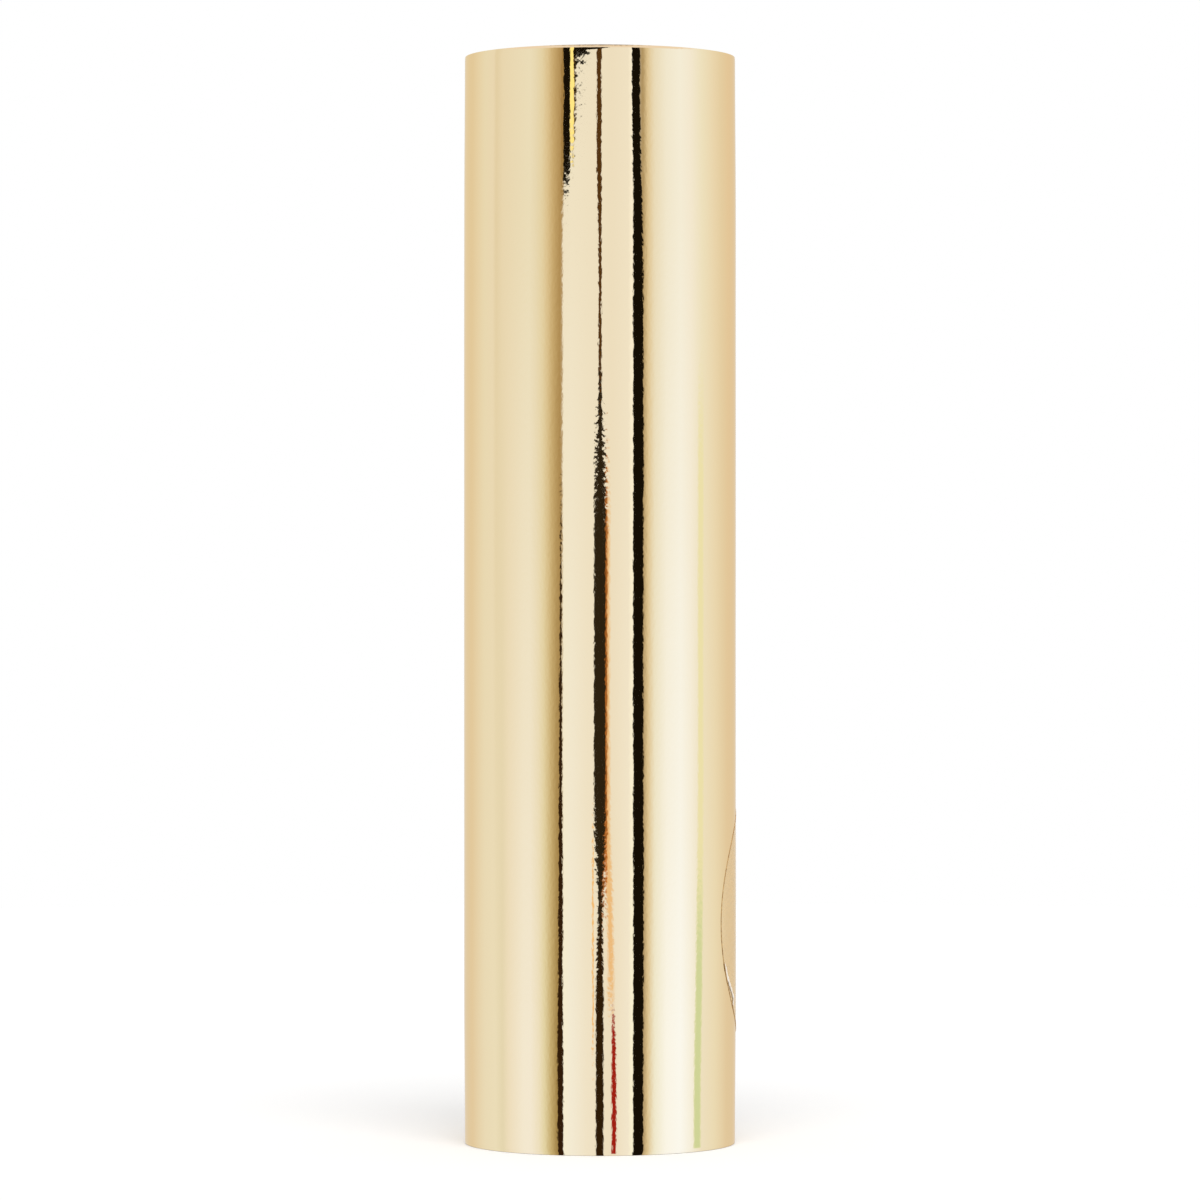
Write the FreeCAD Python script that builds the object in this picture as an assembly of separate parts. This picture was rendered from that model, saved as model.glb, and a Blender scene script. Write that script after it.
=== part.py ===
"""A roll of hot-stamping foil: thin metallised film wound on a spiral-wound paperboard core.

The core is five helical plies of board glued one on another, and its bore slips over a dowel or spindle.
A strip of double-sided tape holds the leading edge of the film on the core, and the film is one continuous
web that spirals outwards turn on turn. A clear round seal, bent round the roll, holds the tail edge down.

Frame: +Z runs up the roll's axis, and the origin is on the axis in the plane of the lower end.
The front of the roll faces -Y. Lengths are in millimetres and angles in degrees.
"""

import FreeCAD
import Part

import math
import os

# Driving dimensions ---------------------------------------------------------------------------------------

# Core: a spiral-wound paperboard tube with the trade's one-inch bore.
core_bore_diameter = 25.4
core_length = 127.0
ply_thickness = 0.45
strip_lead = 64.0  # axial advance of a strip in one turn
seam_gap = 0.4  # open butt joint between neighbouring turns of a strip, measured along the axis
seam_start = 90.0  # where the bore ply's seam leaves the lower end, from +X towards +Y
seam_stagger = 72.0  # each ply's seam is turned this far from the one below it

# Film: a polyester web with its coatings, and the air wound in between the turns.
web_width = 127.0
film_thickness = 0.016
film_air_gap = 0.0036
web_turns = 47

# Start tape: double-sided, between the core and the first turn.
tape_width = 12.0
tape_thickness = 0.05

# Seal: a clear disc over the tail edge.
seal_diameter = 28.6
seal_thickness = 0.07
seal_height = 26.0  # centre above the lower end of the roll
tail_angle = 23.0  # where the tail edge lies, from +X towards +Y

ply_names = [
    "core_bore_ply",
    "core_second_ply",
    "core_middle_ply",
    "core_fourth_ply",
    "core_surface_ply",
]

# Worked-out dimensions ------------------------------------------------------------------------------------

core_bore_radius = core_bore_diameter / 2
core_radius = core_bore_radius + len(ply_names) * ply_thickness
web_bottom = (core_length - web_width) / 2
web_inner_radius = core_radius + tape_thickness
turn_pitch = film_thickness + film_air_gap
web_outer_radius = web_inner_radius + web_turns * turn_pitch + film_thickness

up = FreeCAD.Vector(0, 0, 1)
origin = FreeCAD.Vector(0, 0, 0)


def tube(inner_radius, outer_radius, bottom, height):
    """A plain round tube on the roll's axis."""
    base = FreeCAD.Vector(0, 0, bottom)
    outer = Part.makeCylinder(outer_radius, height, base, up)
    return outer.cut(Part.makeCylinder(inner_radius, height, base, up))


def seam_cutter(inner_radius, outer_radius):
    """A narrow helical bar, as wide as the open seam, that passes right through one ply.

    It crosses the plane of the lower end at +X.
    """
    overrun = strip_lead / 8  # past each end of the core, so that the seam is open at both
    reach = ply_thickness / 2  # past both faces of the ply
    half_gap = seam_gap / 2
    helix = Part.makeHelix(strip_lead, core_length + 2 * overrun, outer_radius)
    profile = Part.makePolygon(
        [
            FreeCAD.Vector(inner_radius - reach, 0, -half_gap),
            FreeCAD.Vector(outer_radius + reach, 0, -half_gap),
            FreeCAD.Vector(outer_radius + reach, 0, half_gap),
            FreeCAD.Vector(inner_radius - reach, 0, half_gap),
            FreeCAD.Vector(inner_radius - reach, 0, -half_gap),
        ]
    )
    sweep = Part.BRepOffsetAPI.MakePipeShell(Part.Wire(helix.Edges))
    sweep.setBiNormalMode(up)
    sweep.add(profile)
    sweep.build()
    sweep.makeSolid()
    bar = sweep.shape()
    bar.translate(FreeCAD.Vector(0, 0, -overrun))
    bar.rotate(origin, up, -360 * overrun / strip_lead)
    return bar


def ply(index):
    """One ply of the core: a strip of board wound in a helix, its edges butted along an open seam.

    The surface ply's edges are thinned and lapped instead, so that the film winds over no gap.
    """
    inner_radius = core_bore_radius + index * ply_thickness
    outer_radius = inner_radius + ply_thickness
    wound = tube(inner_radius, outer_radius, 0, core_length)
    if ply_names[index] == "core_surface_ply":
        return wound
    cutter = seam_cutter(inner_radius, outer_radius)
    cutter.rotate(origin, up, seam_start + index * seam_stagger)
    seamed = wound.cut(cutter)
    if wound.Volume - seamed.Volume < seam_gap * ply_thickness:
        raise ValueError(f"the seam of {ply_names[index]} wasn't cut")
    return seamed


def start_tape():
    """The strip on the core that the film's leading edge is stuck down to."""
    width_angle = math.degrees(tape_width / core_radius)
    sector = Part.makeCylinder(
        web_inner_radius + tape_thickness, web_width, FreeCAD.Vector(0, 0, web_bottom), up, width_angle
    )
    strip = tube(core_radius, web_inner_radius, web_bottom, web_width).common(sector)
    strip.rotate(origin, up, tail_angle)
    return strip


def half_turns(offset):
    """The arcs of one face of the web: half-circles on two centres, half a pitch apart, that join smoothly."""
    arcs = []
    for index in range(2 * web_turns):
        odd = index % 2
        centre = FreeCAD.Vector(odd * turn_pitch / 2, 0, web_bottom)
        radius = web_inner_radius + index * turn_pitch / 2 + offset
        circle = Part.Circle(centre, up, radius)
        arcs.append(Part.ArcOfCircle(circle, odd * math.pi, (odd + 1) * math.pi).toShape())
    return arcs


def foil_web():
    """The whole film as one wound strip, from its leading edge on the tape to its tail edge outside."""
    inner_face = half_turns(0)
    outer_face = half_turns(film_thickness)
    leading_edge = Part.makeLine(
        FreeCAD.Vector(web_inner_radius, 0, web_bottom),
        FreeCAD.Vector(web_inner_radius + film_thickness, 0, web_bottom),
    )
    tail_edge = Part.makeLine(
        FreeCAD.Vector(web_outer_radius - film_thickness, 0, web_bottom),
        FreeCAD.Vector(web_outer_radius, 0, web_bottom),
    )
    outline = Part.Wire([leading_edge] + outer_face + [tail_edge] + inner_face[::-1])
    web = Part.Face(outline).extrude(up * web_width)
    web.rotate(origin, up, tail_angle)
    return web


def round_seal():
    """A flat disc bent round the roll: a thin shell trimmed to the outline that a bent circle has from in front."""
    outline_points = 32
    seal_radius = seal_diameter / 2
    points = []
    for index in range(outline_points):
        turn = 2 * math.pi * index / outline_points
        along_surface = seal_radius * math.cos(turn)
        across = web_outer_radius * math.sin(along_surface / web_outer_radius)
        points.append(FreeCAD.Vector(0, across, seal_height + seal_radius * math.sin(turn)))
    outline = Part.BSplineCurve()
    outline.interpolate(points, PeriodicFlag=True)
    face = Part.Face(Part.Wire(outline.toShape()))
    trimmer = face.extrude(FreeCAD.Vector(web_outer_radius + 2 * seal_thickness, 0, 0))
    shell = tube(web_outer_radius, web_outer_radius + seal_thickness, 0, core_length)
    seal = shell.common(trimmer)
    seal.rotate(origin, up, tail_angle)
    return seal


def save(name, shape):
    """Writes one node, after a check that it is one sound, closed solid."""
    solid = shape.Solids[0]
    if len(shape.Solids) != 1 or not solid.isValid() or not solid.isClosed():
        raise ValueError(f"{name} isn't one closed, valid solid")
    solid.exportStep(f"parts/{name}.step")
    box = solid.BoundBox
    print(f"{name}: {solid.Volume:.1f} mm3, {box.XLength:.2f} x {box.YLength:.2f} x {box.ZLength:.2f} mm")


def main():
    os.makedirs("parts", exist_ok=True)
    for index, name in enumerate(ply_names):
        save(name, ply(index))
    save("start_tape", start_tape())
    save("foil_web", foil_web())
    save("round_seal", round_seal())


main()
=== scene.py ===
# %% [markdown]
# # A roll of gold hot-stamping foil
#
# Hot-stamping foil is a clear polyester film, thinner than a hair, that carries a coloured lacquer and a
# skin of aluminium. It is wound turn on turn on a hollow paperboard core, and a round clear seal holds the
# last turn down. Almost all of the look is reflection. The film is a mirror in the shape of a cylinder, so
# a narrow strip of it shows the whole room squeezed sideways. The lesson therefore spends as much care on
# what stands round the roll as on the roll itself.
#
# The measured model comes first: it gives the names, the places and the sizes that everything else follows.

import math

import bmesh
import bpy
from mathutils import Matrix, Vector
from mathutils.geometry import intersect_point_line


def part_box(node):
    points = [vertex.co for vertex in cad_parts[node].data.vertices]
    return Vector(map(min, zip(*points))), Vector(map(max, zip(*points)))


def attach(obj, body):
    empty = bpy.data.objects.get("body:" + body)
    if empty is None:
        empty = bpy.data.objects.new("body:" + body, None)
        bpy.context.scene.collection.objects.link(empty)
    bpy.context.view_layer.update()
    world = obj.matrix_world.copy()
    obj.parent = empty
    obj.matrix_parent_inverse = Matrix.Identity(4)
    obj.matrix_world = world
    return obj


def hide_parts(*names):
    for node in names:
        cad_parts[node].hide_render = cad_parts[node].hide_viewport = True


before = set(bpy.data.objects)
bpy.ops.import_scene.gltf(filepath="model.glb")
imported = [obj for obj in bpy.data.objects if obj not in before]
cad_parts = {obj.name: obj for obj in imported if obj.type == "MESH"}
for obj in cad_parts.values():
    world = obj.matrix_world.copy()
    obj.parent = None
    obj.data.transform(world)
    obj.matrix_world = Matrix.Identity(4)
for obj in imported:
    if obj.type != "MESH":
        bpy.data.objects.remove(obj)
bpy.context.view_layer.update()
print("pieces in the measured model:", ", ".join(sorted(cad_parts)))

# %% [markdown]
# ## Sizes
#
# Blender works in metres here and the trade works in millimetres, so one constant turns one into the other.
# The roll's own sizes are read from the measured model instead of being typed again, so they can't disagree
# with it.

# %% Sizes of the roll
MM = 0.001

web_low, web_high = (Vector(corner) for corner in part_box("foil_web"))
seal_low, seal_high = (Vector(corner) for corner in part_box("round_seal"))

roll_height = web_high.z - web_low.z
film_radius = -web_low.y
core_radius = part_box("core_surface_ply")[1][0]
seal_radius = (seal_high.z - seal_low.z) / 2
seal_height = (seal_high.z + seal_low.z) / 2
tail_angle = math.radians(23.0)  # from +X towards +Y, where the film's last edge lies

# The seal's outer face stands this far off the film. That is less than the seal's thickness, so its inner face
# sinks in a little and no gap opens over the film's slow waves.
seal_lift = 0.035 * MM

print(f"roll {roll_height / MM:.1f} mm high, {2 * film_radius / MM:.2f} mm across")
print(f"core {2 * core_radius / MM:.1f} mm across")
print(f"seal {2 * seal_radius / MM:.1f} mm across, its centre {seal_height / MM:.1f} mm up")

# %% [markdown]
# ## Four small helpers
#
# Colours are written as the hex values that a colour picker shows. Those are sRGB, while Blender's shaders
# add up light, so each value is turned to linear once, here.
#
# A node helper keeps the materials short: it makes a node, gives it its settings, and fills each input with
# a number or with a link from another node.
#
# The third helper does in code what a mouse does in edit mode: it clears the selection and picks faces,
# edges or points by where they are. The last one gives a new primitive its name and opens it in edit mode.

# %% Helpers for colour, nodes and selection
def colour(hex_value):
    """Turns an sRGB colour such as "#EDDDBE" into the linear colour that a shader needs."""
    parts = [int(hex_value[place : place + 2], 16) / 255 for place in (1, 3, 5)]
    return (*[c / 12.92 if c <= 0.04045 else ((c + 0.055) / 1.055) ** 2.4 for c in parts], 1.0)


def add_node(tree, kind, inputs=None, **settings):
    """Adds one node, with its settings, and fills its inputs with values or with links from other nodes."""
    node = tree.nodes.new(kind)
    for name, value in settings.items():
        setattr(node, name, value)
    for key, value in (inputs or {}).items():
        if isinstance(value, bpy.types.NodeSocket):
            tree.links.new(value, node.inputs[key])
        else:
            node.inputs[key].default_value = value
    return node


def pick(piece, kind, test):
    """In edit mode, selects only the faces, edges or points whose middle (and normal) pass the test."""
    bpy.ops.mesh.select_mode(type={"faces": "FACE", "edges": "EDGE", "points": "VERT"}[kind])
    bpy.ops.mesh.select_all(action="DESELECT")
    mesh = bmesh.from_edit_mesh(piece.data)
    count = 0
    if kind == "faces":
        for face in mesh.faces:
            if not face.hide and test(face.calc_center_median(), face.normal):
                face.select_set(True)
                count += 1
    elif kind == "edges":
        for edge in mesh.edges:
            one, other = (point.co for point in edge.verts)
            if not edge.hide and test((one + other) / 2, other - one):
                edge.select_set(True)
                count += 1
    else:
        for point in mesh.verts:
            if not point.hide and test(point.co, point.normal):
                point.select_set(True)
                count += 1
    bmesh.update_edit_mesh(piece.data)
    return count


def begin_piece(name):
    """Names the primitive that was just added and goes into edit mode on it alone."""
    piece = bpy.context.object
    piece.name = name
    piece.data.name = name
    bpy.ops.object.transform_apply(location=True, rotation=True, scale=True)
    bpy.ops.object.mode_set(mode="EDIT")
    return piece


# %% [markdown]
# ## The camera
#
# A long lens from 640 mm away sees the roll almost square on: its two ends bow by only a millimetre and a
# half. The lens looks level, at the middle of the roll's height, so neither end face shows.

# %% Camera
camera_distance = 640 * MM
camera_data = bpy.data.cameras.new("camera")
camera_data.lens = 163.86
camera_data.sensor_width = 36.0
camera_data.clip_start = 0.01
camera = bpy.data.objects.new("camera", camera_data)
camera.location = (0, -camera_distance, roll_height / 2)
camera.rotation_euler = (math.radians(90), 0, 0)
bpy.context.scene.collection.objects.link(camera)
bpy.context.scene.camera = camera

# %% [markdown]
# ## The light tent
#
# A mirror-like thing is best shown inside a tent of white panels, so that it has something plain to
# reflect. The camera looks in through a slit. What gives polished metal its snap is where the panels don't
# meet: each gap is a black line down the roll. The tent could be modelled as real panels, but they would
# hide the roll from a camera that walks round it, so it is painted on the world instead. The world shader
# knows the direction that a ray leaves in, and that gives a compass angle and a height angle: 0 degrees is
# towards the camera, and positive angles are to its right.
#
# Only mirror rays see the painted tent. Rays that gather soft light see one plain level, and the camera
# itself sees white.

# %% World: directions as angles
world = bpy.data.worlds.new("light tent")
bpy.context.scene.world = world
world.use_nodes = True
sky = world.node_tree
sky.nodes.clear()

look = add_node(sky, "ShaderNodeTexCoord")
along = add_node(sky, "ShaderNodeSeparateXYZ", {0: look.outputs["Generated"]})
to_camera = add_node(sky, "ShaderNodeMath", {0: along.outputs["Y"], 1: -1.0}, operation="MULTIPLY")
turn = add_node(sky, "ShaderNodeMath", {0: along.outputs["X"], 1: to_camera.outputs[0]}, operation="ARCTAN2")
compass = add_node(sky, "ShaderNodeMath", {0: turn.outputs[0]}, operation="DEGREES").outputs[0]
slope = add_node(sky, "ShaderNodeMath", {0: along.outputs["Z"]}, operation="ARCSINE")
height = add_node(sky, "ShaderNodeMath", {0: slope.outputs[0]}, operation="DEGREES").outputs[0]

# %% [markdown]
# The panels aren't evenly bright. A soft box behind the right wall makes it the brightest, and a little
# cool beside the warm light that the gold throws back on the other panels. Next to each gap the panel falls
# away into brown shade. Two colour ramps run once round the compass, one for the upper part of the tent and
# one for the lower, and a third node mixes them by height. A ramp stops at white, so the ramps are written
# darker and the world is turned up by the same factor.

# %% World: the tent's panels
panel_level = 1.8

upper_panels = [
    (-180, "#B7B2AA"), (-158, "#BDB8AF"), (-139, "#BDB6AA"), (-126, "#C0BCB4"), (-115, "#C1C1BD"),
    (-103, "#C2C0BD"), (-99, "#BCB8AF"), (-91, "#C1BFBB"), (-62, "#C3C5C5"), (-56, "#C0C0BC"),
    (-50, "#BDBAAE"), (-45, "#B6AC97"), (-40, "#A69677"), (-32.4, "#8D7752"), (-31.9, "#C6C8CF"),
    (-24, "#C7CAD1"), (10, "#C5C6CB"), (24, "#C7C9D0"), (27, "#D2D5DD"), (36, "#8A7A5C"),
    (41, "#B9AF9C"), (47, "#C2C3C4"), (58, "#C8CEDA"), (72, "#CBD3E4"), (83, "#CACFDD"),
    (97, "#C5C8C9"), (114, "#C2BEB8"), (126, "#BEB8AE"), (140, "#BEB4A9"), (180, "#B7B2AC"),
]
lower_panels = [
    (-180, "#B7B2AD"), (-158, "#BAB7B4"), (-139, "#BDB6AE"), (-115, "#C2C3C3"), (-100, "#C3C5C5"),
    (-91, "#BDBEBA"), (-84, "#C5C5C8"), (-68, "#CACFDD"), (-61, "#CACFDE"), (-53, "#C5C7CA"),
    (-48, "#BCBCAE"), (-42, "#A49978"), (-36.5, "#86754F"), (-32.6, "#826E49"), (-31.4, "#CDD4DF"),
    (-24, "#CAD1E1"), (-11, "#C7CAD3"), (10, "#C5C6CB"), (24, "#C9CDD9"), (27, "#D2DAE1"),
    (36, "#85765E"), (41, "#B8AE9A"), (47, "#C7CFD9"), (58, "#D0DBF5"), (72, "#D1DEFD"),
    (83, "#CDD6EB"), (97, "#C5C7CB"), (114, "#C3C3C0"), (136, "#BCB5AD"), (180, "#B7B2AE"),
]

round_the_tent = add_node(
    sky, "ShaderNodeMapRange", {"Value": compass, "From Min": -180.0, "From Max": 180.0}
).outputs["Result"]


def panel_ramp(stops):
    """A colour ramp that runs once round the compass through (angle, colour) stops."""
    ramp = add_node(sky, "ShaderNodeValToRGB", {"Fac": round_the_tent})
    line = ramp.color_ramp
    line.elements[0].position, line.elements[1].position = 0.0, 1.0
    for angle, _ in stops[1:-1]:
        line.elements.new((angle + 180) / 360)
    for stop, (_, hex_value) in zip(line.elements, stops):
        stop.color = colour(hex_value)
    return ramp.outputs["Color"]


panel_mix = add_node(sky, "ShaderNodeMapRange", {"Value": height, "From Min": 4.0, "From Max": -5.0})
panels = add_node(
    sky,
    "ShaderNodeMix",
    {0: panel_mix.outputs["Result"], 6: panel_ramp(upper_panels), 7: panel_ramp(lower_panels)},
    data_type="RGBA",
)
tent = panels.outputs[2]
print(f"tent: {len(upper_panels)} stops round the upper panels, {len(lower_panels)} round the lower")

# %% [markdown]
# The gaps and the small things in front of the panels are masks laid over the ramps. Each mask has a left
# and a right side, given as compass angles. A side may also be a link, so that it can lean with height: the
# left wall's gap is wide at the top of the tent, shut in the middle and opens again low down. The mask
# eases from 0 to 1 over a fraction of a degree, because a real edge is never perfectly sharp in a
# reflection.

# %% World: helpers for the gaps
def by_height(low, low_value, high, high_value):
    """A value that changes evenly between two height angles and stays put outside them."""
    inputs = {"Value": height, "From Min": low, "From Max": high, "To Min": low_value, "To Max": high_value}
    return add_node(sky, "ShaderNodeMapRange", inputs).outputs["Result"]


def past(value, edge, soft):
    """1 where the value is past the edge, 0 where it is short of it."""
    gone = add_node(sky, "ShaderNodeMath", {0: value, 1: edge}, operation="SUBTRACT")
    inputs = {"Value": gone.outputs[0], "From Min": -soft, "From Max": soft}
    return add_node(sky, "ShaderNodeMapRange", inputs, interpolation_type="SMOOTHSTEP").outputs["Result"]


def both(*masks):
    """The masks multiplied together."""
    result = masks[0]
    for mask in masks[1:]:
        result = add_node(sky, "ShaderNodeMath", {0: result, 1: mask}, operation="MULTIPLY").outputs[0]
    return result


def between(left, right, soft=0.35):
    """A mask between two compass angles."""
    from_left = past(compass, left, soft)
    to_right = add_node(sky, "ShaderNodeMath", {0: 1.0, 1: past(compass, right, soft)}, operation="SUBTRACT")
    return both(from_left, to_right.outputs[0])


def below(top, soft=0.15):
    """A mask for everything lower than a height angle."""
    inputs = {0: 1.0, 1: past(height, top, soft)}
    return add_node(sky, "ShaderNodeMath", inputs, operation="SUBTRACT").outputs[0]


def paint(under, mask, hex_value):
    """Lays a colour over what is there, where the mask is 1."""
    inputs = {0: mask, 6: under, 7: colour(hex_value)}
    return add_node(sky, "ShaderNodeMix", inputs, data_type="RGBA").outputs[2]


# %% [markdown]
# Now the tent is dressed. First come its dark gaps: the black one at the right wall, the one at the left
# wall with the yellow edge of a lamp in it, and the slit that the camera looks through. Then come the small
# coloured things that stand near the panels: an orange strap, a red cable and a green leaf of light.

# %% World: gaps and small things
gap_black = "#100C06"
shade_brown = "#26170A"

right_gap = between(by_height(5.0, 27.9, 5.7, 27.0), by_height(3.3, 36.9, 5.6, 34.2))
tent = paint(tent, right_gap, gap_black)

low_gap = between(by_height(-5.5, -36.2, 1.0, -33.6), by_height(-5.5, -31.2, 1.0, -32.5), 0.4)
tent = paint(tent, both(low_gap, below(1.0, 0.3)), shade_brown)
high_shade = both(between(-33.0, -30.6), past(height, 4.3, 0.5))
tent = paint(tent, high_shade, "#86704A")
high_gap = between(-31.0, by_height(4.5, -27.5, 5.0, -25.0))
tent = paint(tent, both(high_gap, past(height, 4.65, 0.2)), gap_black)
feather = between(-23.0, by_height(5.3, -22.6, 6.05, -19.6), 0.8)
tent = paint(tent, both(feather, past(height, 5.1, 0.1)), "#3A2814")
lamp_edge = both(between(-25.2, -22.0), past(height, 5.4, 0.25))
tent = paint(tent, lamp_edge, "#DCD08E")

slit = between(by_height(-3.9, -3.5, -3.0, -0.5), by_height(-3.9, 2.8, -3.0, 1.2), 0.5)
tent = paint(tent, both(slit, below(1.0, 0.3)), "#241708")
slit_top = both(between(by_height(3.7, -1.1, 4.9, -2.7), 1.4, 0.4), past(height, 1.0, 0.3))
tent = paint(tent, slit_top, "#432C12")

strap_left, strap_right = by_height(-3.6, 6.5, -2.2, 4.0), by_height(-4.0, 11.6, -2.0, 8.0)
strap = both(between(strap_left, strap_right, 1.4), below(1.2, 0.3), past(height, -4.3, 0.5))
tent = paint(tent, strap, "#C4A683")
strap_edge = both(between(4.2, 5.9, 0.5), below(-1.9, 0.1), past(height, -3.0, 0.3))
tent = paint(tent, strap_edge, "#A5652F")
thread = both(between(-6.6, -5.4, 0.4), below(-2.4, 0.2), past(height, -5.2, 0.3))
tent = paint(tent, thread, "#C9A87E")

cable = between(9.8, by_height(-5.8, 13.8, -4.8, 12.2), 0.5)
cable = both(cable, below(-4.7, 0.25), past(height, -16.0, 1.0))
tent = paint(tent, cable, "#831A12")
leaf = between(by_height(-5.5, 87.5, -2.0, 91.5), by_height(-5.5, 95.0, -2.0, 98.0), 1.5)
leaf = both(leaf, past(height, -8.5, 1.8))
tent = paint(tent, both(leaf, below(2.0, 0.8)), "#C4C8B6")
tent = paint(tent, both(leaf, below(-3.2, 0.8)), "#ACBDA2")

# %% [markdown]
# The camera's lens stands in the slit, a dark shape with a pointed top and bottom. Each of its sides is
# whichever of two slopes lies nearer to its middle: one closes towards the top and one towards the bottom.
# Along its right side the barrel catches warm light, and that makes a brown fringe, painted first and a
# little wider.

# %% World: the lens
def of_two(kind, one, other):
    """The larger, the smaller or the sum of two values."""
    return add_node(sky, "ShaderNodeMath", {0: one, 1: other}, operation=kind).outputs[0]


lens_left = of_two("MAXIMUM", by_height(1.35, -5.2, 1.75, -1.4), by_height(-3.0, -1.6, -2.2, -5.0))
lens_right = of_two("MINIMUM", by_height(1.35, 4.8, 1.75, 1.6), by_height(-3.1, 1.4, -2.2, 4.6))
lens_foot = past(height, -3.2, 0.1)
fringe = both(between(0.0, of_two("ADD", lens_right, 1.5), 0.6), below(1.35, 0.1), lens_foot)
tent = paint(tent, fringe, "#8A5527")
lens = both(between(lens_left, lens_right, 0.4), below(2.2, 0.1), lens_foot)
tent = paint(tent, lens, "#231C12")

# %% [markdown]
# Over the panels the tent is open for a little, a black wedge that closes to the right, slowly and then
# fast, as a cube does. Above it comes the ceiling, and above that the dark of the room. The film only sees
# so high where its lip tilts up, so these two are squeezed into the last half millimetre of the rim. A last
# dark seam stands right at the tent's back, where the front of the roll can't mirror it: only a camera that
# walks round the roll sees it.

# %% World: over the panels, and behind
to_right = add_node(sky, "ShaderNodeMapRange", {"Value": compass, "From Min": -22.0, "From Max": 8.0})
sweep = add_node(sky, "ShaderNodeMath", {0: to_right.outputs["Result"], 1: 3.0}, operation="POWER")
panel_top = add_node(sky, "ShaderNodeMapRange", {"Value": sweep.outputs[0], "To Min": 6.15, "To Max": 12.0})
over_panel = both(between(-22.2, 9.0), past(height, panel_top.outputs["Result"], 0.1))
tent = paint(tent, over_panel, gap_black)
tent = paint(tent, past(height, 12.6, 0.6), "#C5BCBA")
dark_room = both(between(-62.0, 50.0, 22.0), past(height, 16.0, 1.2))
tent = paint(tent, dark_room, "#5C4A36")
from_front = add_node(sky, "ShaderNodeMath", {0: compass}, operation="ABSOLUTE").outputs[0]
tent = paint(tent, past(from_front, 176.5, 0.5), gap_black)

# %% [markdown]
# The last world nodes choose which of the three a ray gets. Light Path tells one kind of ray from another.
# Rays that come off the film or through the clear seal take the tent, rays that carry soft light take the
# plain level, and the camera takes white.

# %% World: who sees what
soft_level = 0.62

path = add_node(sky, "ShaderNodeLightPath")
mirror_ray = add_node(
    sky,
    "ShaderNodeMath",
    {0: path.outputs["Is Glossy Ray"], 1: path.outputs["Is Transmission Ray"]},
    operation="MAXIMUM",
)
tent_light = add_node(sky, "ShaderNodeVectorMath", {0: tent, "Scale": panel_level}, operation="SCALE")
plain = (soft_level, soft_level, soft_level, 1.0)
white = (1.0, 1.0, 1.0, 1.0)
seen = add_node(
    sky,
    "ShaderNodeMix",
    {0: mirror_ray.outputs[0], 6: plain, 7: tent_light.outputs["Vector"]},
    data_type="RGBA",
)
seen = add_node(
    sky,
    "ShaderNodeMix",
    {0: path.outputs["Is Camera Ray"], 6: seen.outputs[2], 7: white},
    data_type="RGBA",
)
light = add_node(sky, "ShaderNodeBackground", {"Color": seen.outputs[2]})
add_node(sky, "ShaderNodeOutputWorld", {"Surface": light.outputs["Background"]})
world.cycles.sampling_method = "NONE"
print(f"tent finished: {len(sky.nodes)} nodes in the world")

# %% [markdown]
# ## Key light and floor
#
# One soft lamp, high and a little to the right, gives the board and the floor their form, and the seal's
# crease its glint. A sun lamp is used because its light is even over the whole floor. Its wide angle makes
# the shadow's edge soft.
#
# The floor is matt and pale. It adds a little light of its own, for the camera alone, so that it meets the
# white background without an edge, while the roll's shadow still shows on it. The film doesn't mirror it:
# the tent's panels run on down below the roll.

# %% Key light and floor
key_data = bpy.data.lights.new("key light", "SUN")
key_data.energy = 1.35
key_data.angle = math.radians(30)
key = bpy.data.objects.new("key light", key_data)
key.rotation_euler = (math.radians(24), 0, math.radians(6))
bpy.context.scene.collection.objects.link(key)

bpy.ops.object.select_all(action="DESELECT")
floor_drop = 0.05 * MM  # the floor lies this far under the roll, so that the two faces don't coincide
bpy.ops.mesh.primitive_circle_add(
    vertices=96, radius=500 * MM, fill_type="NGON", location=(0, 0, -floor_drop)
)
floor = begin_piece("floor")
bpy.ops.object.mode_set(mode="OBJECT")
floor.visible_glossy = False
floor.visible_transmission = False

glow_level = 0.14  # just enough to meet the white background

floor_paint = bpy.data.materials.new("matt white floor")
floor_paint.use_nodes = True
tree = floor_paint.node_tree
tree.nodes.clear()
matt = add_node(tree, "ShaderNodeBsdfDiffuse", {"Color": colour("#F2F2F2")})
floor_path = add_node(tree, "ShaderNodeLightPath")
floor_glow = add_node(
    tree, "ShaderNodeMath", {0: floor_path.outputs["Is Camera Ray"], 1: glow_level}, operation="MULTIPLY"
)
glow = add_node(tree, "ShaderNodeEmission", {"Strength": floor_glow.outputs[0]})
floor_light = add_node(tree, "ShaderNodeAddShader", {0: matt.outputs[0], 1: glow.outputs[0]})
add_node(tree, "ShaderNodeOutputMaterial", {"Surface": floor_light.outputs[0]})
floor.data.materials.append(floor_paint)

# %% [markdown]
# ## Gold film
#
# Hot-stamping foil shows its clear carrier outside and, under it, aluminium seen through a yellow lacquer.
# The eye gets a metal: a pale gold mirror with no grain. A Principled shader at full metallic does that,
# and its base colour is the colour of the reflection seen square on.
#
# What tells film from a polished bar is that its reflections have hairy edges. The film is never quite
# flat: it ripples by a few micrometres, over less than a millimetre. The ripples are longer along the roll
# than round it, so the noise is squeezed by a Mapping node. Bump height and scale are both in metres, so
# real numbers can be typed in.

# %% Material: gold metallised film
def new_material(name):
    """An empty node material."""
    material = bpy.data.materials.new(name)
    material.use_nodes = True
    material.node_tree.nodes.clear()
    return material


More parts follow.
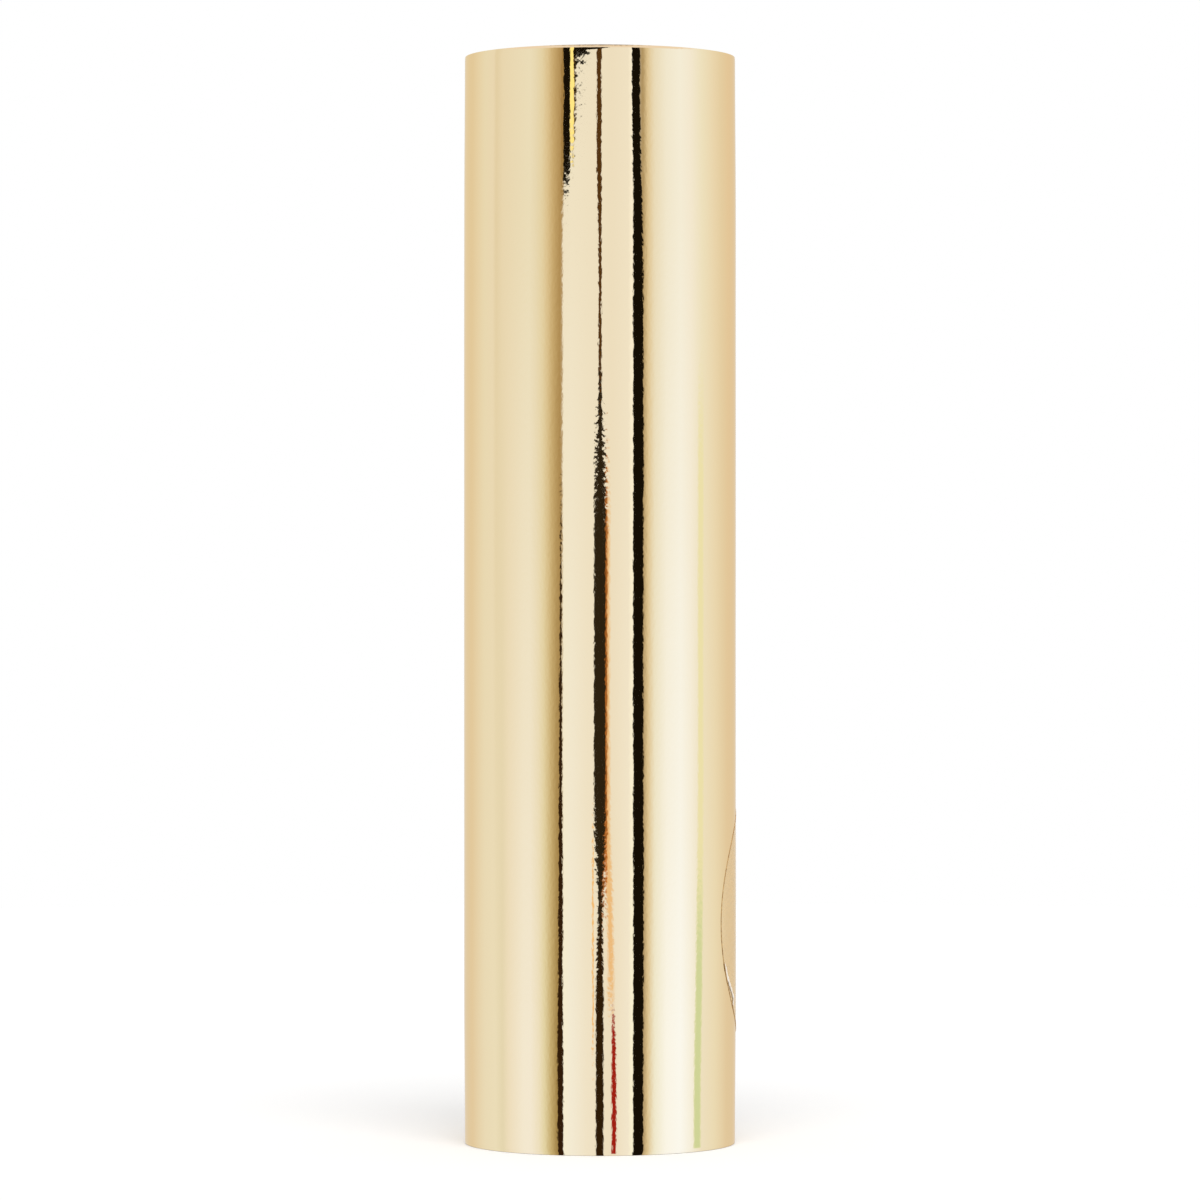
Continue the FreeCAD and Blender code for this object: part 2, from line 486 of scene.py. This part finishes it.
gold_film = new_material("metallised polyester film, gold")
tree = gold_film.node_tree
place = add_node(tree, "ShaderNodeTexCoord").outputs["Object"]
stretch = add_node(tree, "ShaderNodeMapping", {"Vector": place, "Scale": (1.0, 1.0, 0.6)})
ripple_period = 0.42 * MM
ripple_height = 0.0036 * MM
ripple = add_node(
    tree,
    "ShaderNodeTexNoise",
    {"Vector": stretch.outputs[0], "Scale": 1 / ripple_period, "Detail": 1.5, "Roughness": 0.5},
)
ripples = add_node(
    tree, "ShaderNodeBump", {"Strength": 1.0, "Distance": ripple_height, "Height": ripple.outputs["Fac"]}
)
film_shader = add_node(
    tree,
    "ShaderNodeBsdfPrincipled",
    {
        "Base Color": colour("#EDDCB7"),
        "Metallic": 1.0,
        "Roughness": 0.025,
        "Specular Tint": colour("#F8EEDB"),
        "Normal": ripples.outputs[0],
    },
)
add_node(tree, "ShaderNodeOutputMaterial", {"Surface": film_shader.outputs[0]})

# %% [markdown]
# ## Slit film edges
#
# A roll is cut from a wide one with a razor, so each end face is thousands of square-cut edges of film
# lying side by side. Clear plastic, lacquer and metal seen edge-on make a dull brown-gold with fine rings.
# The real rings are 0.02 mm apart. They are drawn 0.12 mm apart here, so that they show.

# %% Material: slit edges of the film
ring_spacing = 0.12 * MM
waves_per_unit = 20 / (2 * math.pi)  # how many rings a wave texture of scale 1 draws in a metre

slit_edges = new_material("slit film edges, satin")
tree = slit_edges.node_tree
place = add_node(tree, "ShaderNodeTexCoord").outputs["Object"]
rings = add_node(
    tree,
    "ShaderNodeTexWave",
    {"Vector": place, "Scale": 1 / (waves_per_unit * ring_spacing), "Distortion": 0.6, "Detail": 2.0},
    wave_type="RINGS",
    rings_direction="Z",
)
ring_tint = add_node(tree, "ShaderNodeValToRGB", {"Fac": rings.outputs["Fac"]})
ring_tint.color_ramp.elements[0].color = colour("#6B5230")
ring_tint.color_ramp.elements[1].color = colour("#A2875A")
ring_relief = add_node(
    tree, "ShaderNodeBump", {"Strength": 0.6, "Distance": 0.01 * MM, "Height": rings.outputs["Fac"]}
)
edge_shader = add_node(
    tree,
    "ShaderNodeBsdfPrincipled",
    {
        "Base Color": ring_tint.outputs["Color"],
        "Metallic": 0.35,
        "Roughness": 0.42,
        "Normal": ring_relief.outputs[0],
    },
)
add_node(tree, "ShaderNodeOutputMaterial", {"Surface": edge_shader.outputs[0]})

# %% [markdown]
# ## Modelling the film
#
# Nearly fifty turns of film could be wound as a spiral, but only the outside, the two end faces and the
# last edge ever show, so the wound film is modelled as one closed ring. It starts as a cylinder with enough
# sides for its outline and its reflections to run smoothly.
#
# First the wall gets its rings of points: six close to each end, where the film rolls in a little, and an
# even ladder between them, for the slow waves.

# %% Film: wall and ladder of rings
wall_sides = 360
lip_depths = [0.60 * MM, 0.48 * MM, 0.36 * MM, 0.24 * MM, 0.16 * MM, 0.08 * MM]

bpy.ops.object.select_all(action="DESELECT")
bpy.ops.mesh.primitive_cylinder_add(
    vertices=wall_sides, radius=film_radius, depth=roll_height, location=(0, 0, web_low.z + roll_height / 2)
)
film = begin_piece("gold_film")

for depth in lip_depths:
    for end in (web_low.z + depth, web_high.z - depth):
        bpy.ops.mesh.select_all(action="SELECT")
        bpy.ops.mesh.bisect(plane_co=(0, 0, end), plane_no=(0, 0, 1))
long_edges = pick(film, "edges", lambda middle, run: abs(run.z) > roll_height / 2)
bpy.ops.mesh.subdivide(number_cuts=63)
print(f"film wall: {long_edges} long edges cut into 64")

# %% [markdown]
# The ends of the roll are a touch thinner than its middle, because film is wound under tension and its
# edges give. Scaling the end rings with proportional editing draws the nearby rings in with them, less and
# less, over 18 mm. Then the last 0.6 mm is rolled in step by step to make the lip, a shallow curve that
# catches the tent's ceiling as a tan line along the rim.

# %% Film: drawn-in ends and rolled lips
end_shrink = 0.08 * MM
end_reach = 18 * MM
lip_bend = 0.20 / MM  # how fast the lip's slope grows, per metre
level_slack = 0.004 * MM  # how far off a height a point may be and still count as on it


def ring_at(level):
    """A test for the points of the wall's ring at one height."""
    return lambda point, _: abs(point.z - level) < level_slack and point.xy.length > core_radius


for level in (web_low.z, web_high.z):
    pick(film, "points", ring_at(level))
    factor = 1 - end_shrink / film_radius
    bpy.ops.transform.resize(
        value=(factor, factor, 1),
        center_override=(0, 0, level),
        use_proportional_edit=True,
        proportional_edit_falloff="SMOOTH",
        proportional_size=end_reach,
    )

for depth in [*lip_depths[1:], 0.0]:
    inset = lip_bend * (lip_depths[0] - depth) ** 2 / 2
    factor = 1 - inset / film_radius
    for level in (web_low.z + depth, web_high.z - depth):
        pick(film, "points", ring_at(level))
        bpy.ops.transform.resize(value=(factor, factor, 1), center_override=(0, 0, level))
print(f"lip rolled in by {inset / MM:.3f} mm at the rim")

# %% [markdown]
# ## The tail edge
#
# The film's last edge is a straight cut that runs the whole height of the roll, hidden from the front and
# held only by the seal. Two cuts close together, made on one side of the wall only, give a narrow strip of
# faces. Lifting one side of that strip stands it up into a step. The turn below must stay where it is, so
# it is hidden while the last turn is lifted: proportional editing leaves hidden points alone. The real film
# is 0.016 mm thick, and the step is drawn at 0.05 mm so that it shows.

# %% Film: tail edge
tail_out = Vector((math.cos(tail_angle), math.sin(tail_angle), 0))
tail_side = Vector((-math.sin(tail_angle), math.cos(tail_angle), 0))
tail_strip = 0.02 * MM
tail_zone = 0.6 * MM
tail_rise = 0.05 * MM
tail_reach = 7 * MM


def near_tail(middle, _):
    """Faces of the wall beside the tail edge."""
    beside = abs(middle.dot(tail_side)) < tail_zone and middle.dot(tail_out) > 0
    return beside and middle.xy.length > core_radius


for shift in (0, tail_strip):
    pick(film, "faces", near_tail)
    bpy.ops.mesh.bisect(plane_co=tail_side * shift, plane_no=tail_side)

pick(film, "points", lambda point, _: point.dot(tail_side) > tail_strip / 2 and point.dot(tail_out) > 0)
bpy.ops.mesh.hide()
raised = pick(
    film,
    "points",
    lambda point, _: abs(point.dot(tail_side)) < tail_strip / 4
    and point.dot(tail_out) > 0
    and point.z > seal_height + seal_radius + tail_reach + 1 * MM,
)
bpy.ops.transform.translate(
    value=tail_out * tail_rise,
    use_proportional_edit=True,
    proportional_edit_falloff="SMOOTH",
    proportional_size=tail_reach,
)
bpy.ops.mesh.reveal(select=False)
print(f"tail edge: {raised} points lifted by {tail_rise / MM:.2f} mm")

# %% [markdown]
# ## End faces
#
# No winder lines every turn up exactly, so an end face is a set of shallow terraces. Insetting the flat end
# again and again, with a small step up or down each time, makes them. The last inset reaches the core. Its
# face is deleted at both ends, and a bridge between the two openings makes the inner wall.

# %% Film: terraced end faces and inner wall
# In mm, from the rim to the core. A positive step stands proud.
terrace_steps = [-0.02, -0.035, 0.03, -0.02, 0.025, -0.04, 0.03, -0.01, 0.02]
first_share = 0.6  # of a terrace's width, for the first one. The last one gets the rest
rim_radius = film_radius - end_shrink - lip_bend * lip_depths[0] ** 2 / 2
terrace_width = (rim_radius - core_radius) / (len(terrace_steps) + 1)

for up in (1, -1):
    level = web_high.z if up > 0 else web_low.z
    pick(film, "faces", lambda middle, normal: abs(middle.z - level) < level_slack and normal.z * up > 0.9)
    bpy.ops.mesh.inset(thickness=terrace_width * first_share)
    for step in terrace_steps:
        bpy.ops.mesh.inset(thickness=terrace_width)
        bpy.ops.transform.translate(value=(0, 0, up * step * MM))
    bpy.ops.mesh.inset(thickness=terrace_width * (1 - first_share))
    bpy.ops.mesh.delete(type="FACE")

bpy.ops.mesh.select_mode(type="EDGE")
bpy.ops.mesh.select_all(action="DESELECT")
bpy.ops.mesh.select_non_manifold()
bpy.ops.mesh.bridge_edge_loops()
bpy.ops.mesh.select_all(action="SELECT")
bpy.ops.mesh.normals_make_consistent(inside=False)
inner = pick(film, "points", lambda point, _: point.xy.length < core_radius + terrace_width * 0.2)
print(f"end faces: {len(terrace_steps)} terraces each, {inner} points on the inner wall")

# %% [markdown]
# Two materials go on the ring: the film's face on the wall, and the slit edges on the two ends. The slow
# waves come from a Displace modifier that only touches the wall. Its cloud texture is 30 mm coarse and moves
# the wall by a hundredth or two of a millimetre, enough to make a straight reflection wander a little.

# %% Film: materials, waves and shading
film.data.materials.append(gold_film)
film.data.materials.append(slit_edges)
pick(film, "faces", lambda middle, normal: abs(normal.z) > 0.9)
film.active_material_index = 1
bpy.ops.object.material_slot_assign()

film.vertex_groups.new(name="wall")
pick(film, "points", lambda point, _: point.xy.length > core_radius + 0.5 * MM)
bpy.ops.object.vertex_group_assign()
bpy.ops.object.mode_set(mode="OBJECT")

waves = film.modifiers.new("slow waves", "DISPLACE")
waves.texture = bpy.data.textures.new("slow waves", "CLOUDS")
waves.texture.noise_scale = 30 * MM
waves.texture.noise_depth = 1
waves.texture_coords = "LOCAL"
waves.vertex_group = "wall"
waves.mid_level = 0.5
waves.strength = 0.05 * MM
bpy.ops.object.modifier_apply(modifier=waves.name)
bpy.ops.object.shade_smooth_by_angle(angle=math.radians(30))
print(f"film: {len(film.data.polygons)} faces")
print(f"widest {film.dimensions.x / MM:.2f} x {film.dimensions.y / MM:.2f} mm")

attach(film, "root")
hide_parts("foil_web")

# %% [markdown]
# ## The clear seal
#
# The seal is a disc of clear polyester film with a pressure-sensitive adhesive, die-cut round. It is nearly
# invisible: it dims the gold a little, its cut edge bends light into a fine brown line, which is painted on as
# a colour, and a crease has lifted beside the edge and flashes white.
#
# A flat disc is the natural start. Repeated insets give it rings of small faces, so that it can bend. The
# crease is pulled up while the disc is still flat. The faces near it are subdivided first, because a ridge
# half a millimetre wide needs points closer together than that.

# %% Seal: flat disc with a lifted crease
seal_sides = 144
seal_rings = 18
seal_thickness = 0.05 * MM
edge_width = 0.12 * MM
seal_middle = 1.2 * MM  # radius of the last ring, which is closed with a fan of triangles

bpy.ops.object.select_all(action="DESELECT")
bpy.ops.mesh.primitive_circle_add(
    vertices=seal_sides, radius=seal_radius, fill_type="NGON", rotation=(math.radians(90), 0, 0)
)
seal = begin_piece("clear_round_seal")
pick(seal, "faces", lambda middle, normal: True)
bpy.ops.mesh.inset(thickness=edge_width)
for _ in range(seal_rings):
    bpy.ops.mesh.inset(thickness=(seal_radius - seal_middle) / seal_rings)
bpy.ops.mesh.poke()

# The crease runs through these bends, in mm from the seal's centre, across and up. Seen from outside the
# roll, the seal's left is -X and its outside is -Y.
crease_bends = [(-13.3, -4.9), (-12.1, -6.8), (-9.9, -8.9), (-10.2, -9.6)]
crease = [Vector(bend) * MM for bend in crease_bends]
ridge_width, ridge_rise, ridge_reach = 0.12 * MM, 0.05 * MM, 0.5 * MM


def off_crease(x, z):
    """How far a place on the flat seal lies from the crease."""
    place = Vector((x, z))
    distances = []
    for start, end in zip(crease, crease[1:]):
        nearest, share = intersect_point_line(place, start, end)
        nearest = start if share < 0 else end if share > 1 else nearest
        distances.append((place - nearest.to_2d()).length)
    return min(distances)


for finer_within in (1.4 * MM, 0.7 * MM):
    pick(seal, "faces", lambda middle, _: off_crease(middle.x, middle.z) < finer_within)
    bpy.ops.mesh.subdivide(number_cuts=1)
pick(seal, "points", lambda point, _: off_crease(point.x, point.z) < ridge_width)
bpy.ops.transform.translate(
    value=(0, -ridge_rise, 0),
    use_proportional_edit=True,
    proportional_edit_falloff="SMOOTH",
    proportional_size=ridge_reach,
)
bpy.ops.object.mode_set(mode="OBJECT")
print(f"seal: flat disc of {len(seal.data.polygons)} faces before it gets its thickness")

# %% [markdown]
# Solidify gives the disc its thickness. Simple Deform then bends it: the angle is the disc's width divided
# by the roll's radius, so no part of the film is stretched, as a real sticker isn't. The bend leaves the
# disc on the near side of a circle whose centre lies one radius behind it, so it is moved back by that
# radius and swung round to the tail edge.

# %% Seal: thickness, bend and place
thickness = seal.modifiers.new("thickness", "SOLIDIFY")
thickness.thickness = seal_thickness
thickness.offset = -1.0
bpy.ops.object.modifier_apply(modifier=thickness.name)

seat_radius = film_radius + seal_lift
bend = seal.modifiers.new("bend", "SIMPLE_DEFORM")
bend.deform_method = "BEND"
bend.deform_axis = "Z"
bend.angle = 2 * seal_radius / seat_radius
bpy.ops.object.modifier_apply(modifier=bend.name)

swing = Matrix.Rotation(tail_angle + math.radians(90), 4, "Z")
seal.data.transform(swing @ Matrix.Translation((0, -seat_radius, seal_height)))
radii = [point.co.xy.length for point in seal.data.vertices]
print(f"seal bent to radius {min(radii) / MM:.3f} to {max(radii) / MM:.3f} mm")
print(f"on a film of radius {film_radius / MM:.3f} mm")

# %% [markdown]
# The label film is far too thin to bend light in a way that the eye could see, so it isn't made of glass:
# it is made mostly see-through with Alpha, and the little that is left is a warm tan, the colour that a
# layer of old adhesive gives. Light crosses its outer face on the way to the gold and again on the way back,
# so the seal hides a little over a fifth of what lies under it. Along the crease the adhesive has let go,
# and the air under the film mirrors the light: that strip gets a silvery material.
#
# The narrow ring at the cut edge gets a third one: the fine brown line that the edge makes by bending light,
# painted on as a mottled tan-brown and drawn 0.12 mm wide so that it shows. The disc is measured along the
# roll again to find these two: round the roll as an arc, and up.

# %% Material: clear seal, its crease and its cut edge
peel_height = 0.003 * MM
see_through_alpha = 0.12

clear_film = new_material("clear polyester label film, satin")
tree = clear_film.node_tree
place = add_node(tree, "ShaderNodeTexCoord").outputs["Object"]
mottle = add_node(
    tree, "ShaderNodeTexNoise", {"Vector": place, "Scale": 1 / (1.6 * MM), "Detail": 2.0, "Roughness": 0.6}
)
tint = add_node(tree, "ShaderNodeValToRGB", {"Fac": mottle.outputs["Fac"]})
tint.color_ramp.elements[0].position, tint.color_ramp.elements[1].position = 0.3, 0.7
tint.color_ramp.elements[0].color = colour("#FFE0B0")
tint.color_ramp.elements[1].color = colour("#FFEBC8")
orange_peel = add_node(
    tree, "ShaderNodeBump", {"Strength": 1.0, "Distance": peel_height, "Height": mottle.outputs["Fac"]}
)
seal_shader = add_node(
    tree,
    "ShaderNodeBsdfPrincipled",
    {
        "Base Color": tint.outputs["Color"],
        "Roughness": 0.3,
        "IOR": 1.5,
        "Alpha": see_through_alpha,
        "Normal": orange_peel.outputs[0],
    },
)
add_node(tree, "ShaderNodeOutputMaterial", {"Surface": seal_shader.outputs[0]})

lifted_film = new_material("lifted label film, silvery with trapped air")
tree = lifted_film.node_tree
place = add_node(tree, "ShaderNodeTexCoord").outputs["Object"]
bubbles = add_node(tree, "ShaderNodeTexNoise", {"Vector": place, "Scale": 1 / (0.25 * MM), "Detail": 2.0})
bubble_tint = add_node(tree, "ShaderNodeValToRGB", {"Fac": bubbles.outputs["Fac"]})
bubble_tint.color_ramp.elements[0].color = colour("#FBF1DF")
bubble_tint.color_ramp.elements[1].color = colour("#FFFEFA")
lifted_shader = add_node(
    tree,
    "ShaderNodeBsdfPrincipled",
    {"Base Color": bubble_tint.outputs["Color"], "Metallic": 0.75, "Roughness": 0.35},
)
add_node(tree, "ShaderNodeOutputMaterial", {"Surface": lifted_shader.outputs[0]})

# Painted light: this material paints the fine brown line that the clear film's cut edge makes by bending
# light.
painted_edge_line = new_material("die-cut edge, painted line of bent light")
tree = painted_edge_line.node_tree
place = add_node(tree, "ShaderNodeTexCoord").outputs["Object"]
edge_mottle = add_node(tree, "ShaderNodeTexNoise", {"Vector": place, "Scale": 1 / (0.5 * MM), "Detail": 3.0})
edge_line_tint = add_node(tree, "ShaderNodeValToRGB", {"Fac": edge_mottle.outputs["Fac"]})
edge_line_tint.color_ramp.elements[0].position = 0.35
edge_line_tint.color_ramp.elements[1].position = 0.65
edge_line_tint.color_ramp.elements[0].color = colour("#A87D45")
edge_line_tint.color_ramp.elements[1].color = colour("#D9B67A")
edge_line_shader = add_node(
    tree,
    "ShaderNodeBsdfPrincipled",
    {"Base Color": edge_line_tint.outputs["Color"], "Roughness": 0.5, "IOR": 1.47},
)
add_node(tree, "ShaderNodeOutputMaterial", {"Surface": edge_line_shader.outputs[0]})

for finish in (clear_film, painted_edge_line, lifted_film):
    seal.data.materials.append(finish)
silver_width = 0.20 * MM
edge_faces = crease_faces = 0
for face in seal.data.polygons:
    arc = seat_radius * math.atan2(face.center.dot(tail_side), face.center.dot(tail_out))
    up = face.center.z - seal_height
    # The outer ring gets the painted line of bent light at the cut edge.
    if math.hypot(arc, up) > seal_radius - edge_width:
        face.material_index = 1
        edge_faces += 1
    elif off_crease(arc, up) < silver_width:
        face.material_index = 2
        crease_faces += 1
bpy.ops.object.shade_smooth_by_angle(angle=math.radians(40))
print(f"seal: {len(seal.data.polygons)} faces, {edge_faces} on the cut edge and {crease_faces} on the crease")

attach(seal, "root")
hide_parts("round_seal")

# %% [markdown]
# ## Paperboard core
#
# The core is five plies of recycled board, wound in a spiral and glued. The measured model already has
# their shape, down to the open seams, so the plies keep their meshes and only get a finish.
#
# Recycled board is grey-brown, matt and mottled, with fibres that lie along the strip, and a strip climbs
# steeply round the bore. On the end face the knife leaves the edges of the plies, with a darker glue line
# between each two. A ring pattern finds those lines: it takes the distance from the axis, and is dark near
# each joint.

# %% Material: spiral-wound board
core_bore_radius = 12.7 * MM
ply_thickness = 0.45 * MM
fibre_width = 0.16 * MM
glue_width = 0.07 * MM


def board(name, dark, light):
    """Recycled board in two tones, with fibres, mottle and glue lines between the plies."""
    material = new_material(name)
    tree = material.node_tree
    place = add_node(tree, "ShaderNodeTexCoord").outputs["Object"]
    grain = add_node(tree, "ShaderNodeMapping", {"Vector": place, "Scale": (1.0, 1.0, 0.25)})
    fibres = add_node(
        tree,
        "ShaderNodeTexNoise",
        {"Vector": grain.outputs[0], "Scale": 1 / (2 * fibre_width), "Detail": 4.0, "Roughness": 0.65},
    )
    mottle = add_node(
        tree,
        "ShaderNodeTexNoise",
        {"Vector": place, "Scale": 1 / (3.5 * MM), "Detail": 3.0, "Roughness": 0.6},
    )
    blend = add_node(tree, "ShaderNodeMix", {0: 0.45, 2: fibres.outputs["Fac"], 3: mottle.outputs["Fac"]})
    tone = add_node(tree, "ShaderNodeValToRGB", {"Fac": blend.outputs[0]})
    tone.color_ramp.elements[0].position, tone.color_ramp.elements[1].position = 0.3, 0.7
    tone.color_ramp.elements[0].color, tone.color_ramp.elements[1].color = colour(dark), colour(light)

    flat = add_node(tree, "ShaderNodeVectorMath", {0: place, 1: (1.0, 1.0, 0.0)}, operation="MULTIPLY")
    radius = add_node(tree, "ShaderNodeVectorMath", {0: flat.outputs["Vector"]}, operation="LENGTH")
    depth = add_node(
        tree, "ShaderNodeMath", {0: radius.outputs["Value"], 1: core_bore_radius}, operation="SUBTRACT"
    )
    joint = add_node(tree, "ShaderNodeMath", {0: depth.outputs[0], 1: ply_thickness}, operation="PINGPONG")
    line = add_node(
        tree,
        "ShaderNodeMapRange",
        {"Value": joint.outputs[0], "From Min": 0.0, "From Max": glue_width, "To Min": 0.45, "To Max": 0.0},
    )
    facing = add_node(tree, "ShaderNodeNewGeometry").outputs["Normal"]
    upright = add_node(tree, "ShaderNodeSeparateXYZ", {0: facing})
    on_end = add_node(tree, "ShaderNodeMath", {0: upright.outputs["Z"]}, operation="ABSOLUTE")
    glue = add_node(
        tree, "ShaderNodeMath", {0: line.outputs["Result"], 1: on_end.outputs[0]}, operation="MULTIPLY"
    )
    tinted = add_node(
        tree,
        "ShaderNodeMix",
        {0: glue.outputs[0], 6: tone.outputs["Color"], 7: colour("#6B5238")},
        data_type="RGBA",
    )
    relief = add_node(
        tree, "ShaderNodeBump", {"Strength": 0.8, "Distance": 0.03 * MM, "Height": blend.outputs[0]}
    )
    shader = add_node(
        tree,
        "ShaderNodeBsdfPrincipled",
        {"Base Color": tinted.outputs[2], "Roughness": 0.9, "IOR": 1.45, "Normal": relief.outputs[0]},
    )
    add_node(tree, "ShaderNodeOutputMaterial", {"Surface": shader.outputs[0]})
    return material


core_board = board("recycled grey board, spiral wound", "#9C8B75", "#C2B39C")
liner_board = board("smooth kraft liner board", "#A9957A", "#CDBDA3")

# %% [markdown]
# ## Start tape
#
# The strip of double-sided tape that starts the film lies under all the turns, so only its ends can be
# seen, as a thin pale line between board and film. It is a tissue carrier with milky acrylic adhesive on
# both faces.

# %% Material: double-sided tape
tape = new_material("double-sided tissue tape, acrylic adhesive")
tree = tape.node_tree
place = add_node(tree, "ShaderNodeTexCoord").outputs["Object"]
tissue = add_node(tree, "ShaderNodeTexNoise", {"Vector": place, "Scale": 1 / (0.3 * MM), "Detail": 4.0})
tissue_tint = add_node(tree, "ShaderNodeValToRGB", {"Fac": tissue.outputs["Fac"]})
tissue_tint.color_ramp.elements[0].color = colour("#D8D2C2")
tissue_tint.color_ramp.elements[1].color = colour("#F2EEE2")
tape_shader = add_node(
    tree,
    "ShaderNodeBsdfPrincipled",
    {"Base Color": tissue_tint.outputs["Color"], "Roughness": 0.55, "IOR": 1.47},
)
add_node(tree, "ShaderNodeOutputMaterial", {"Surface": tape_shader.outputs[0]})

# %% [markdown]
# A measured piece that keeps its shape gets its finish by swapping what is in its material slots. The bore
# ply and the surface ply are the smoother liner board, and the three between them are plain grey board.

# %% Finish the measured pieces
finishes = {
    "core_bore_ply": liner_board,
    "core_second_ply": core_board,
    "core_middle_ply": core_board,
    "core_fourth_ply": core_board,
    "core_surface_ply": liner_board,
    "start_tape": tape,
}
for name, finish in finishes.items():
    for material_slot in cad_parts[name].material_slots:
        material_slot.material = finish
    print(f"{name}: {finish.name}")

# %% [markdown]
# ## Colour and finish
#
# The Standard view shows each colour as it was written.

# %% Finish
bpy.context.scene.view_settings.view_transform = "Standard"
